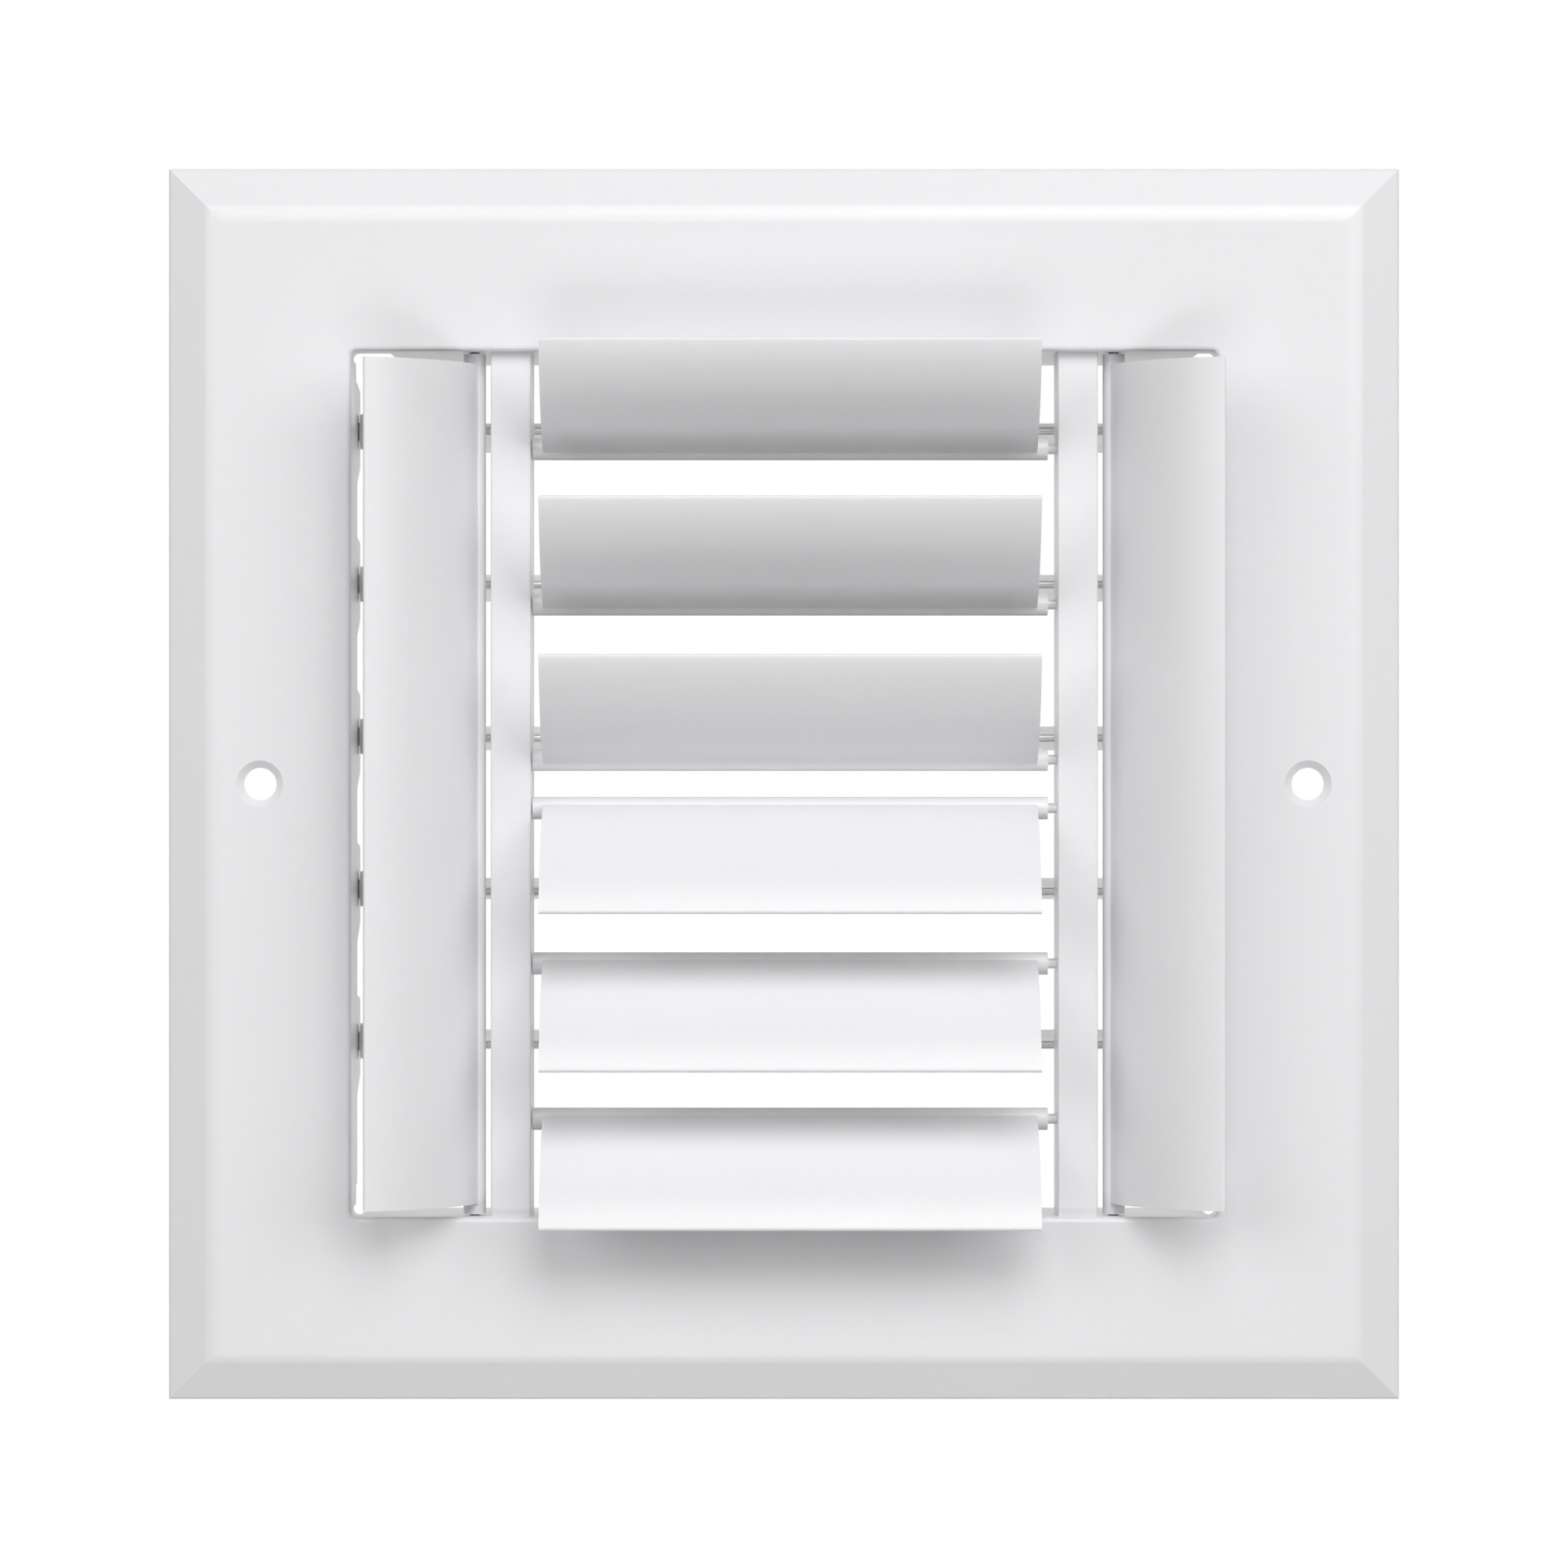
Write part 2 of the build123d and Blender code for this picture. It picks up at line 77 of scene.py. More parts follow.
class GroupLibrary:
    """Builds each shared shader node group once."""

    fine_share = 0.35
    grain_share = 0.4
    drift_share = 0.4
    drift_scale = 35.0

    def __init__(self) -> None:
        """Start with no groups built."""
        self._built: dict[Group, bpy.types.NodeTree] = {}

    def get(self, group: Group) -> bpy.types.NodeTree:
        """Return a group's node tree, building it on first use.

        Args:
            group: The group to fetch.

        Returns:
            The finished node tree.
        """
        if group not in self._built:
            makers = {
                Group.MOTTLE: self._mottle,
                Group.ORANGE_PEEL: self._orange_peel,
                Group.ROLLED_STREAKS: self._rolled_streaks,
            }
            self._built[group] = makers[group]()
        return self._built[group]

    @staticmethod
    def _tree(group: Group, inputs: dict[str, float], output: str) -> bpy.types.NodeTree:
        """Make an empty group with float inputs and one float output.

        Args:
            group: The group, which names the tree.
            inputs: Input names and their default values.
            output: The output's name.

        Returns:
            The new node tree, with its input and output nodes in place.
        """
        tree = bpy.data.node_groups.new(group.value, "ShaderNodeTree")
        for name, value in inputs.items():
            socket = tree.interface.new_socket(
                name, in_out="INPUT", socket_type="NodeSocketFloat"
            )
            socket.default_value = value
        tree.interface.new_socket(output, in_out="OUTPUT", socket_type="NodeSocketFloat")
        tree.nodes.new("NodeGroupInput").name = "in"
        tree.nodes.new("NodeGroupOutput").name = "out"
        return tree

    def _mottle(self) -> bpy.types.NodeTree:
        """Broad and fine unevenness of a coat.

        Returns:
            A tree whose Mask goes from 0 to 1 over the surface.
        """
        tree = self._tree(Group.MOTTLE, {"Broad Scale": 28.0, "Fine Scale": 420.0}, "Mask")
        nodes, links = tree.nodes, tree.links
        place = nodes.new("ShaderNodeTexCoord")
        broad = nodes.new("ShaderNodeTexNoise")
        broad.inputs["Detail"].default_value = 3.0
        fine = nodes.new("ShaderNodeTexNoise")
        fine.inputs["Detail"].default_value = 2.0
        blend = nodes.new("ShaderNodeMix")
        blend.inputs["Factor"].default_value = self.fine_share
        for noise, scale in ((broad, "Broad Scale"), (fine, "Fine Scale")):
            links.new(place.outputs["Object"], noise.inputs["Vector"])
            links.new(nodes["in"].outputs[scale], noise.inputs["Scale"])
        links.new(broad.outputs["Fac"], blend.inputs["A"])
        links.new(fine.outputs["Fac"], blend.inputs["B"])
        links.new(blend.outputs["Result"], nodes["out"].inputs["Mask"])
        return tree

    def _orange_peel(self) -> bpy.types.NodeTree:
        """The fine rounded waviness of a baked powder coat.

        Returns:
            A tree whose Height goes from 0 to 1 over the surface.
        """
        scales = {"Peel Scale": 700.0, "Grain Scale": 2600.0}
        tree = self._tree(Group.ORANGE_PEEL, scales, "Height")
        nodes, links = tree.nodes, tree.links
        place = nodes.new("ShaderNodeTexCoord")
        peel = nodes.new("ShaderNodeTexVoronoi")
        peel.feature = "SMOOTH_F1"
        peel.inputs["Smoothness"].default_value = 1.0
        grain = nodes.new("ShaderNodeTexNoise")
        blend = nodes.new("ShaderNodeMix")
        blend.inputs["Factor"].default_value = self.grain_share
        links.new(place.outputs["Object"], peel.inputs["Vector"])
        links.new(place.outputs["Object"], grain.inputs["Vector"])
        links.new(nodes["in"].outputs["Peel Scale"], peel.inputs["Scale"])
        links.new(nodes["in"].outputs["Grain Scale"], grain.inputs["Scale"])
        links.new(peel.outputs["Distance"], blend.inputs["A"])
        links.new(grain.outputs["Fac"], blend.inputs["B"])
        links.new(blend.outputs["Result"], nodes["out"].inputs["Height"])
        return tree

    def _rolled_streaks(self) -> bpy.types.NodeTree:
        """Fine lines that run along rolled or drawn metal, with a slower drift across it.

        Returns:
            A tree whose Streak goes from 0 to 1 over the surface.
        """
        scales = {"X Scale": 9.0, "Y Scale": 900.0, "Z Scale": 900.0}
        tree = self._tree(Group.ROLLED_STREAKS, scales, "Streak")
        nodes, links = tree.nodes, tree.links
        place = nodes.new("ShaderNodeTexCoord")
        scale = nodes.new("ShaderNodeCombineXYZ")
        stretch = nodes.new("ShaderNodeVectorMath")
        stretch.operation = "MULTIPLY"
        lines = nodes.new("ShaderNodeTexNoise")
        lines.inputs["Scale"].default_value = 1.0
        lines.inputs["Detail"].default_value = 4.0
        drift = nodes.new("ShaderNodeTexNoise")
        drift.inputs["Scale"].default_value = self.drift_scale
        blend = nodes.new("ShaderNodeMix")
        blend.inputs["Factor"].default_value = self.drift_share
        for axis in ("X", "Y", "Z"):
            links.new(nodes["in"].outputs[f"{axis} Scale"], scale.inputs[axis])
        links.new(place.outputs["Object"], stretch.inputs[0])
        links.new(scale.outputs["Vector"], stretch.inputs[1])
        links.new(stretch.outputs["Vector"], lines.inputs["Vector"])
        links.new(place.outputs["Object"], drift.inputs["Vector"])
        links.new(lines.outputs["Fac"], blend.inputs["A"])
        links.new(drift.outputs["Fac"], blend.inputs["B"])
        links.new(blend.outputs["Result"], nodes["out"].inputs["Streak"])
        return tree


@dataclass(frozen=True)
class Finish:
    """One procedural finish, built from a shared mask and a shared height."""

    name: str
    light: tuple[float, float, float]
    dark: tuple[float, float, float]
    roughness: tuple[float, float]
    metallic: float
    mask_group: Group
    mask_output: str
    height_group: Group
    height_output: str
    bump_distance: float
    bump_strength: float
    mask_values: dict[str, float] = field(default_factory=dict)
    height_values: dict[str, float] = field(default_factory=dict)
    mask_low: float = 0.3
    mask_high: float = 0.7

    def build(self, groups: GroupLibrary) -> bpy.types.Material:
        """Make the material.

        Args:
            groups: Where the shared node groups come from.

        Returns:
            The finished material.
        """
        material = bpy.data.materials.new(self.name)
        material.use_nodes = True
        nodes, links = material.node_tree.nodes, material.node_tree.links
        shader = nodes["Principled BSDF"]
        shader.inputs["Metallic"].default_value = self.metallic
        unevenness = self._group(nodes, groups, self.mask_group, self.mask_values)
        mask = unevenness.outputs[self.mask_output]
        relief = self._group(nodes, groups, self.height_group, self.height_values)
        colour = nodes.new("ShaderNodeValToRGB")
        start, end = colour.color_ramp.elements
        start.position, start.color = self.mask_low, (*self.dark, 1.0)
        end.position, end.color = self.mask_high, (*self.light, 1.0)
        gloss = nodes.new("ShaderNodeMapRange")
        gloss.inputs["From Min"].default_value = self.mask_low
        gloss.inputs["From Max"].default_value = self.mask_high
        gloss.inputs["To Min"].default_value = self.roughness[1]
        gloss.inputs["To Max"].default_value = self.roughness[0]
        bump = nodes.new("ShaderNodeBump")
        bump.inputs["Distance"].default_value = self.bump_distance
        bump.inputs["Strength"].default_value = self.bump_strength
        links.new(mask, colour.inputs["Fac"])
        links.new(mask, gloss.inputs["Value"])
        links.new(relief.outputs[self.height_output], bump.inputs["Height"])
        links.new(colour.outputs["Color"], shader.inputs["Base Color"])
        links.new(gloss.outputs["Result"], shader.inputs["Roughness"])
        links.new(bump.outputs["Normal"], shader.inputs["Normal"])
        return material

    @staticmethod
    def _group(
        nodes: bpy.types.Nodes, groups: GroupLibrary, group: Group, values: dict[str, float]
    ) -> bpy.types.Node:
        """Place a shared group with this finish's own values.

        Args:
            nodes: The material's nodes.
            groups: Where the shared node groups come from.
            group: The group to place.
            values: Values for its inputs.

        Returns:
            The group node.
        """
        node = nodes.new("ShaderNodeGroup")
        node.node_tree = groups.get(group)
        for name, value in values.items():
            node.inputs[name].default_value = value
        return node


POWDER_COAT = Finish(
    name="satin_powder_coat",
    light=(0.86, 0.86, 0.875),
    dark=(0.84, 0.84, 0.855),
    roughness=(0.30, 0.36),
    metallic=0.0,
    mask_group=Group.MOTTLE,
    mask_output="Mask",
    height_group=Group.ORANGE_PEEL,
    height_output="Height",
    bump_distance=0.00012,
    bump_strength=0.10,
)
LEVEL_BLADE_COAT = replace(
    POWDER_COAT,
    name="satin_coat_level_blade",
    height_group=Group.ROLLED_STREAKS,
    height_output="Streak",
    bump_distance=0.00005,
    bump_strength=0.10,
    height_values={"X Scale": 4.0, "Y Scale": 520.0, "Z Scale": 520.0},
)
UPRIGHT_BLADE_COAT = replace(
    LEVEL_BLADE_COAT,
    name="satin_coat_upright_blade",
    height_values={"X Scale": 520.0, "Y Scale": 520.0, "Z Scale": 4.0},
)
MILL_SHEET = Finish(
    name="rolled_mill_sheet",
    light=(0.80, 0.785, 0.77),
    dark=(0.68, 0.665, 0.65),
    roughness=(0.28, 0.42),
    metallic=0.4,
    mask_group=Group.ROLLED_STREAKS,
    mask_output="Streak",
    height_group=Group.ROLLED_STREAKS,
    height_output="Streak",
    bump_distance=0.00008,
    bump_strength=0.25,
)
MOULDED_NYLON = Finish(
    name="moulded_grey_nylon",
    light=(0.84, 0.84, 0.845),
    dark=(0.76, 0.76, 0.765),
    roughness=(0.40, 0.52),
    metallic=0.0,
    mask_group=Group.MOTTLE,
    mask_output="Mask",
    height_group=Group.ORANGE_PEEL,
    height_output="Height",
    bump_distance=0.0001,
    bump_strength=0.15,
)
ZINC_PLATE = Finish(
    name="zinc_plated_steel",
    light=(0.66, 0.67, 0.69),
    dark=(0.48, 0.49, 0.51),
    roughness=(0.28, 0.46),
    metallic=0.9,
    mask_group=Group.MOTTLE,
    mask_output="Mask",
    height_group=Group.ROLLED_STREAKS,
    height_output="Streak",
    bump_distance=0.00006,
    bump_strength=0.2,
    mask_values={"Broad Scale": 160.0, "Fine Scale": 900.0},
    height_values={"X Scale": 500.0, "Y Scale": 500.0, "Z Scale": 500.0},
)


class Finishes:
    """The register's materials, each built once, by the slot of the record that they fill."""

    usual = {
        Slot.WHITE_COAT: POWDER_COAT,
        Slot.MILL_ALUMINIUM: MILL_SHEET,
        Slot.GREY_NYLON: MOULDED_NYLON,
        Slot.ZINC_STEEL: ZINC_PLATE,
    }

    def __init__(self) -> None:
        """Build every finish."""
        groups = GroupLibrary()
        finishes = (*self.usual.values(), LEVEL_BLADE_COAT, UPRIGHT_BLADE_COAT)
        self._materials = {finish.name: finish.build(groups) for finish in finishes}

    def dress(self, piece: bpy.types.Object, slot: Slot, finish: Finish | None = None) -> None:
        """Give a piece one finish all over.

        Args:
            piece: A mesh object.
            slot: The slot that the piece has in the record.
            finish: The finish to give it, where it isn't the slot's usual one.
        """
        finish = finish or self.usual[slot]
        piece.data.materials.clear()
        piece.data.materials.append(self._materials[finish.name])


def deselect_all() -> None:
    """Leave edit mode and clear the selection."""
    if bpy.context.mode != "OBJECT":
        bpy.ops.object.mode_set(mode="OBJECT")
    bpy.ops.object.select_all(action="DESELECT")


def make_active(piece: bpy.types.Object) -> None:
    """Select one object alone and make it active.

    Args:
        piece: The object.
    """
    deselect_all()
    piece.select_set(True)
    bpy.context.view_layer.objects.active = piece


def select_faces(
    piece: bpy.types.Object, wanted: Callable[[bpy.types.MeshPolygon], bool]
) -> None:
    """Enter edit mode with only the wanted faces selected.

    Args:
        piece: The mesh object.
        wanted: Says of a face whether it is selected.
    """
    make_active(piece)
    bpy.ops.object.mode_set(mode="EDIT")
    bpy.ops.mesh.select_mode(type="FACE")
    bpy.ops.mesh.select_all(action="DESELECT")
    bpy.ops.object.mode_set(mode="OBJECT")
    for face in piece.data.polygons:
        face.select = wanted(face)
    bpy.ops.object.mode_set(mode="EDIT")


def select_edges(piece: bpy.types.Object, wanted: Callable[[Vector, Vector], bool]) -> None:
    """Enter edit mode with only the wanted edges selected.

    Args:
        piece: The mesh object.
        wanted: Says of an edge's two ends whether the edge is selected.
    """
    make_active(piece)
    bpy.ops.object.mode_set(mode="EDIT")
    bpy.ops.mesh.select_mode(type="EDGE")
    bpy.ops.mesh.select_all(action="DESELECT")
    bpy.ops.object.mode_set(mode="OBJECT")
    points = piece.data.vertices
    for edge in piece.data.edges:
        first, last = edge.vertices
        edge.select = wanted(points[first].co, points[last].co)
    bpy.ops.object.mode_set(mode="EDIT")


def thicken(piece: bpy.types.Object, thickness: float) -> None:
    """Give an open surface a wall on the side away from its normals.

    Args:
        piece: The mesh object.
        thickness: The wall's thickness.
    """
    make_active(piece)
    wall = piece.modifiers.new("wall", "SOLIDIFY")
    wall.thickness = thickness
    wall.offset = -1.0
    bpy.ops.object.modifier_apply(modifier=wall.name)


def combine(piece: bpy.types.Object, other: bpy.types.Object, operation: str) -> None:
    """Join another solid to a piece or cut it away, and delete the other solid.

    Args:
        piece: The mesh object that stays.
        other: The mesh object that goes.
        operation: UNION or DIFFERENCE.
    """
    make_active(piece)
    change = piece.modifiers.new("change", "BOOLEAN")
    change.operation = operation
    change.object = other
    change.solver = "EXACT"
    bpy.ops.object.modifier_apply(modifier=change.name)
    bpy.data.objects.remove(other)


def copy_piece(pattern: bpy.types.Object, name: str) -> bpy.types.Object:
    """Copy a modelled piece with a mesh of its own.

    Args:
        pattern: The piece to copy.
        name: The copy's name.

    Returns:
        The copy.
    """
    piece = pattern.copy()
    piece.data = pattern.data.copy()
    piece.name = name
    piece.data.name = name
    bpy.context.scene.collection.objects.link(piece)
    return piece


def settle(piece: bpy.types.Object, at: Vector, turn: tuple[float, float, float]) -> None:
    """Move a piece's mesh to its place, leaving its object at the origin.

    Args:
        piece: The piece.
        at: Where the piece's own origin goes.
        turn: The piece's turn about X, Y and Z, in radians.
    """
    make_active(piece)
    piece.rotation_euler = turn
    piece.location = at
    bpy.ops.object.transform_apply(location=True, rotation=True, scale=True)


@dataclass
class FaceFrame:
    """The pressed face frame with its neck, and the screws that hold the mullions."""

    head: float = 5.2 * MM
    head_height: float = 1.7 * MM
    head_round_share: float = 0.55  # of the head's height
    shank: float = 2.6 * MM
    shank_length: float = 8.8 * MM
    recess_length: float = 3.0 * MM
    recess_width: float = 0.75 * MM
    recess_depth: float = 1.0 * MM
    recess_taper: float = 0.45
    recess_turn: float = math.radians(20)
    head_sides: int = 40

    def build(self, finishes: Finishes) -> None:
        """Dress the frame and model its screws.

        Args:
            finishes: The materials.
        """
        finishes.dress(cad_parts["face_frame"], Slot.WHITE_COAT)
        low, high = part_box("mullion_screws")
        spread_x = (high.x - low.x - self.head) / 2
        middle = (low + high) / 2
        pattern = self._screw()
        for place, x in (("left", -spread_x), ("right", spread_x)):
            for way, end in (("top", high.z), ("bottom", low.z)):
                screw = copy_piece(pattern, f"mullion_screw_{place}_{way}")
                turn = (math.pi if way == "bottom" else 0.0, 0.0, self.recess_turn)
                settle(screw, Vector((middle.x + x, middle.y, end)), turn)
                finishes.dress(screw, Slot.ZINC_STEEL)
                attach(screw, "frame")
                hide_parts("mullion_screws")
                log.info("modelled %s", screw.name)
        bpy.data.objects.remove(pattern)

    def _screw(self) -> bpy.types.Object:
        """Model one pan-head screw at the origin, its head's top at Z 0.

        Returns:
            The screw.
        """
        deselect_all()
        bpy.ops.mesh.primitive_cylinder_add(
            vertices=self.head_sides,
            radius=self.head / 2,
            depth=self.head_height,
            location=(0, 0, -self.head_height / 2),
        )
        screw = bpy.context.object
        bpy.ops.object.transform_apply(location=True, rotation=True, scale=True)
        select_faces(screw, lambda face: face.normal.z < -FACING)
        bpy.ops.mesh.inset(thickness=(self.head - self.shank) / 2)
        bpy.ops.mesh.extrude_region_move(
            TRANSFORM_OT_translate={"value": (0, 0, -self.shank_length)}
        )
        select_faces(screw, lambda face: face.normal.z > FACING)
        head_round = self.head_height * self.head_round_share
        bpy.ops.mesh.bevel(offset=head_round, segments=5, affect="EDGES")
        deselect_all()
        for turn in (0.0, math.pi / 2):
            self._cut_recess(screw, turn)
        make_active(screw)
        bpy.ops.object.shade_smooth_by_angle(angle=SMOOTH_ANGLE)
        return screw

    def _cut_recess(self, screw: bpy.types.Object, turn: float) -> None:
        """Cut one tapered bar of the cross recess.

        Args:
            screw: The screw to cut.
            turn: The bar's turn about the screw's axis, in radians.
        """
        deselect_all()
        bpy.ops.mesh.primitive_cube_add(size=1, rotation=(0, 0, turn))
        bar = bpy.context.object
        bar.scale = (self.recess_length, self.recess_width, 2 * self.recess_depth)
        bpy.ops.object.transform_apply(location=True, rotation=True, scale=True)
        select_faces(bar, lambda face: face.normal.z < -FACING)
        bpy.ops.transform.resize(
            value=(self.recess_taper, self.recess_taper, 1.0), center_override=(0, 0, 0)
        )
        combine(screw, bar, "DIFFERENCE")


@dataclass
class CurvedBlade:
    """One bowed sheet on a round barrel, with its pivot along X through the origin.

    In its section, Z goes outwards from the middle of the face and -Y goes forwards.
    """

    barrel: float = 3.6 * MM
    pin: float = 1.6 * MM
    sheet: float = 0.8 * MM
    reach: float = 16.06 * MM
    rise: float = 20.77 * MM
    root_shift: float = 0.6 * MM
    root_angle: float = math.radians(75)
    end_inset: float = 1.72 * MM
    buried: float = 0.5 * MM
    tip_round_share: float = 0.49  # of the sheet, a little under half
    tip_search_share: float = 0.6  # of the sheet, round the middle of its outer edge
    weld_distance: float = 0.001 * MM
    bow_steps: int = 36
    barrel_sides: int = 48

    def build(self, length: float) -> bpy.types.Object:
        """Model the blade.

        Args:
            length: The barrel's length.

        Returns:
            The blade, at the origin.
        """
        blade = self._barrel(length)
        combine(blade, self._bow(length - 2 * self.end_inset), "UNION")
        make_active(blade)
        bpy.ops.object.shade_smooth_by_angle(angle=SMOOTH_ANGLE)
        return blade

    def _barrel(self, length: float) -> bpy.types.Object:
        """Model the tube that the pins go into.

        Args:
            length: The tube's length.

        Returns:
            The tube.
        """
        deselect_all()
        bpy.ops.mesh.primitive_cylinder_add(
            vertices=self.barrel_sides,
            radius=self.barrel / 2,
            depth=length,
            end_fill_type="NOTHING",
            rotation=(0, math.pi / 2, 0),
        )
        tube = bpy.context.object
        bpy.ops.object.transform_apply(location=True, rotation=True, scale=True)
        thicken(tube, (self.barrel - self.pin) / 2)
        return tube

    def _bow(self, length: float) -> bpy.types.Object:
        """Spin one long edge into the bowed sheet, and round its outer edge.

        Args:
            length: The sheet's length.

        Returns:
            The sheet, its root inside the barrel's wall.
        """
        root_rise = math.sqrt((self.barrel / 2) ** 2 - self.root_shift**2)
        root = Vector((-self.root_shift, root_rise))
        chord = Vector((self.reach, self.rise)) - root
        bow = 2 * (self.root_angle - math.atan2(chord.y, chord.x))
        radius = chord.length / (2 * math.sin(bow / 2))
        centre = root + radius * Vector((math.sin(self.root_angle), -math.cos(self.root_angle)))
        start = math.pi / 2 + self.root_angle + self.buried / radius
        sweep = bow + (self.buried + self.sheet / 2) / radius

        deselect_all()
        bpy.ops.mesh.primitive_plane_add(size=length)
        sheet = bpy.context.object
        sheet.location = (
            0,
            -centre.y - radius * math.sin(start) + length / 2,
            centre.x + radius * math.cos(start),
        )
        bpy.ops.object.transform_apply(location=True, rotation=True, scale=True)
        near = min(point.co.y for point in sheet.data.vertices)
        select_edges(sheet, lambda first, last: min(first.y, last.y) > near + length / 2)
        bpy.ops.mesh.delete(type="VERT")
        bpy.ops.mesh.select_all(action="SELECT")
        bpy.ops.mesh.spin(
            steps=self.bow_steps, angle=sweep, center=(0, -centre.y, centre.x), axis=(1, 0, 0)
        )
        bpy.ops.mesh.select_all(action="SELECT")
        bpy.ops.mesh.remove_doubles(threshold=self.weld_distance)
        deselect_all()
        thicken(sheet, self.sheet)

        end = start - sweep
        middle = radius - self.sheet / 2
        tip = Vector((0, -centre.y - middle * math.sin(end), centre.x + middle * math.cos(end)))
        select_edges(
            sheet,
            lambda first, last: abs(first.x - last.x) > length / 2
            and ((first - tip) * Vector((0, 1, 1))).length < self.tip_search_share * self.sheet,
        )
        bpy.ops.mesh.bevel(offset=self.tip_round_share * self.sheet, segments=4, affect="EDGES")
        deselect_all()
        return sheet


@dataclass
class Mullion:
    """One extruded bar, crisp in front, with a hollow and a channel open at its back."""

    edge_round: float = 0.4 * MM
    wall: float = 1.2 * MM
    hollow_depth: float = 5.0 * MM
    channel_depth: float = 1.9 * MM
    neck_lean: float = math.radians(1.17)

    def build(self, node: str) -> bpy.types.Object:
        """Model the bar in its place.

        Args:
            node: The CAD node whose box it fills.

        Returns:
            The bar.
        """
        low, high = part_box(node)
        middle, size = (low + high) / 2, high - low
        bar = self._block(middle, size)
        front_share = 1 - 2 * size.y * math.tan(self.neck_lean) / size.z
        select_faces(bar, lambda face: face.normal.y < -FACING)
        bpy.ops.transform.resize(value=(1, 1, front_share), center_override=middle)
        select_edges(
            bar,
            lambda first, last: max(first.y, last.y) < low.y + self.edge_round
            and abs(first.z - last.z) > size.z / 2,
        )
        bpy.ops.mesh.bevel(offset=self.edge_round, segments=5, affect="EDGES")
        inside = size.x - 2 * self.wall
        hollow_y = low.y + self.wall + self.hollow_depth / 2
        hollow = Vector((inside, self.hollow_depth, 2 * size.z))
        channel = Vector((inside, 2 * self.channel_depth, 2 * size.z))
        combine(bar, self._block(Vector((middle.x, hollow_y, middle.z)), hollow), "DIFFERENCE")
        combine(bar, self._block(Vector((middle.x, high.y, middle.z)), channel), "DIFFERENCE")
        make_active(bar)
        bpy.ops.object.shade_smooth_by_angle(angle=SMOOTH_ANGLE)
        return bar

    @staticmethod
    def _block(middle: Vector, size: Vector) -> bpy.types.Object:
        """Make a plain block.

        Args:
            middle: The block's middle.
            size: Its size along X, Y and Z.

        Returns:
            The block, with its place in its mesh.
        """
        deselect_all()
        bpy.ops.mesh.primitive_cube_add(size=1)
        block = bpy.context.object
        block.scale = size
        settle(block, middle, (0.0, 0.0, 0.0))
        return block


class Way(Enum):
    """Where a blade points, as its turn about Y from straight up."""

    UP = 0.0
    DOWN = math.pi
    LEFT = -math.pi / 2
    RIGHT = math.pi / 2


@dataclass
class BladeCassette:
    """Mullions, curved blades and their pins."""

    mullion: Mullion = field(default_factory=Mullion)
    mullions: tuple[str, ...] = ("mullion_left", "mullion_right")
    blade: CurvedBlade = field(default_factory=CurvedBlade)
    blades: tuple[tuple[str, Way], ...] = (
        ("centre_blade_1", Way.UP),
        ("centre_blade_2", Way.UP),
        ("centre_blade_3", Way.UP),
        ("centre_blade_4", Way.DOWN),
        ("centre_blade_5", Way.DOWN),
        ("centre_blade_6", Way.DOWN),
        ("side_blade_left", Way.LEFT),
        ("side_blade_right", Way.RIGHT),
    )

    def build(self, finishes: Finishes) -> None:
        """Model the mullions and the blades, and dress them and their pins.

        Args:
            finishes: The materials.
        """
        for name in self.mullions:
            bar = self.mullion.build(name)
            finishes.dress(bar, Slot.WHITE_COAT)
            self._stand_in(bar, name, "frame")
        for name, way in self.blades:
            blade = self._place_blade(name, way)
            upright = way in (Way.LEFT, Way.RIGHT)
            finishes.dress(
                blade, Slot.WHITE_COAT, UPRIGHT_BLADE_COAT if upright else LEVEL_BLADE_COAT
            )
            self._stand_in(blade, name, f"{name}_body")
            finishes.dress(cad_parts[f"{name}_pins"], Slot.WHITE_COAT)
            log.info("modelled %s", name)

    @staticmethod
    def _stand_in(piece: bpy.types.Object, node: str, body: str) -> None:
        """Name a modelled piece and put it in its node's stead.

        Args:
            piece: The modelled piece.
            node: The CAD node that it replaces.
            body: The body that carries it.
        """
        piece.name = f"{node}_formed"
        piece.data.name = piece.name
        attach(piece, body)
        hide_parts(node)

    def _place_blade(self, node: str, way: Way) -> bpy.types.Object:
        """Model one blade on its node's pivot.

        Args:
            node: The blade's CAD node.
            way: Where the blade points.

        Returns:
            The blade in its place.
        """
        low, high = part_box(node)
        middle, size = (low + high) / 2, high - low
        outwards = Vector((round(math.sin(way.value)), 0, round(math.cos(way.value))))
        level = way in (Way.UP, Way.DOWN)
        blade = self.blade.build(size.x if level else size.z)
        pivot = middle - outwards * ((size.z if level else size.x) - self.blade.barrel) / 2
        pivot.y = high.y - self.blade.barrel / 2
        settle(blade, pivot, (0.0, way.value, 0.0))
        return blade


@dataclass
class Damper:
    """The shutter damper: folded blades, bushes, lever, and the tie bar with its rivets."""

    count: int = 5

    def build(self, finishes: Finishes) -> None:
        """Dress the damper's nodes.

        Args:
            finishes: The materials.
        """
        for number in range(1, self.count + 1):
            finishes.dress(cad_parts[f"damper_blade_{number}"], Slot.MILL_ALUMINIUM)
            finishes.dress(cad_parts[f"damper_bushes_{number}"], Slot.GREY_NYLON)
        finishes.dress(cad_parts["damper_lever"], Slot.GREY_NYLON)
        for name in ("tie_bar", "tie_rivets"):
            finishes.dress(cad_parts[name], Slot.ZINC_STEEL)
        log.info("dressed the damper")


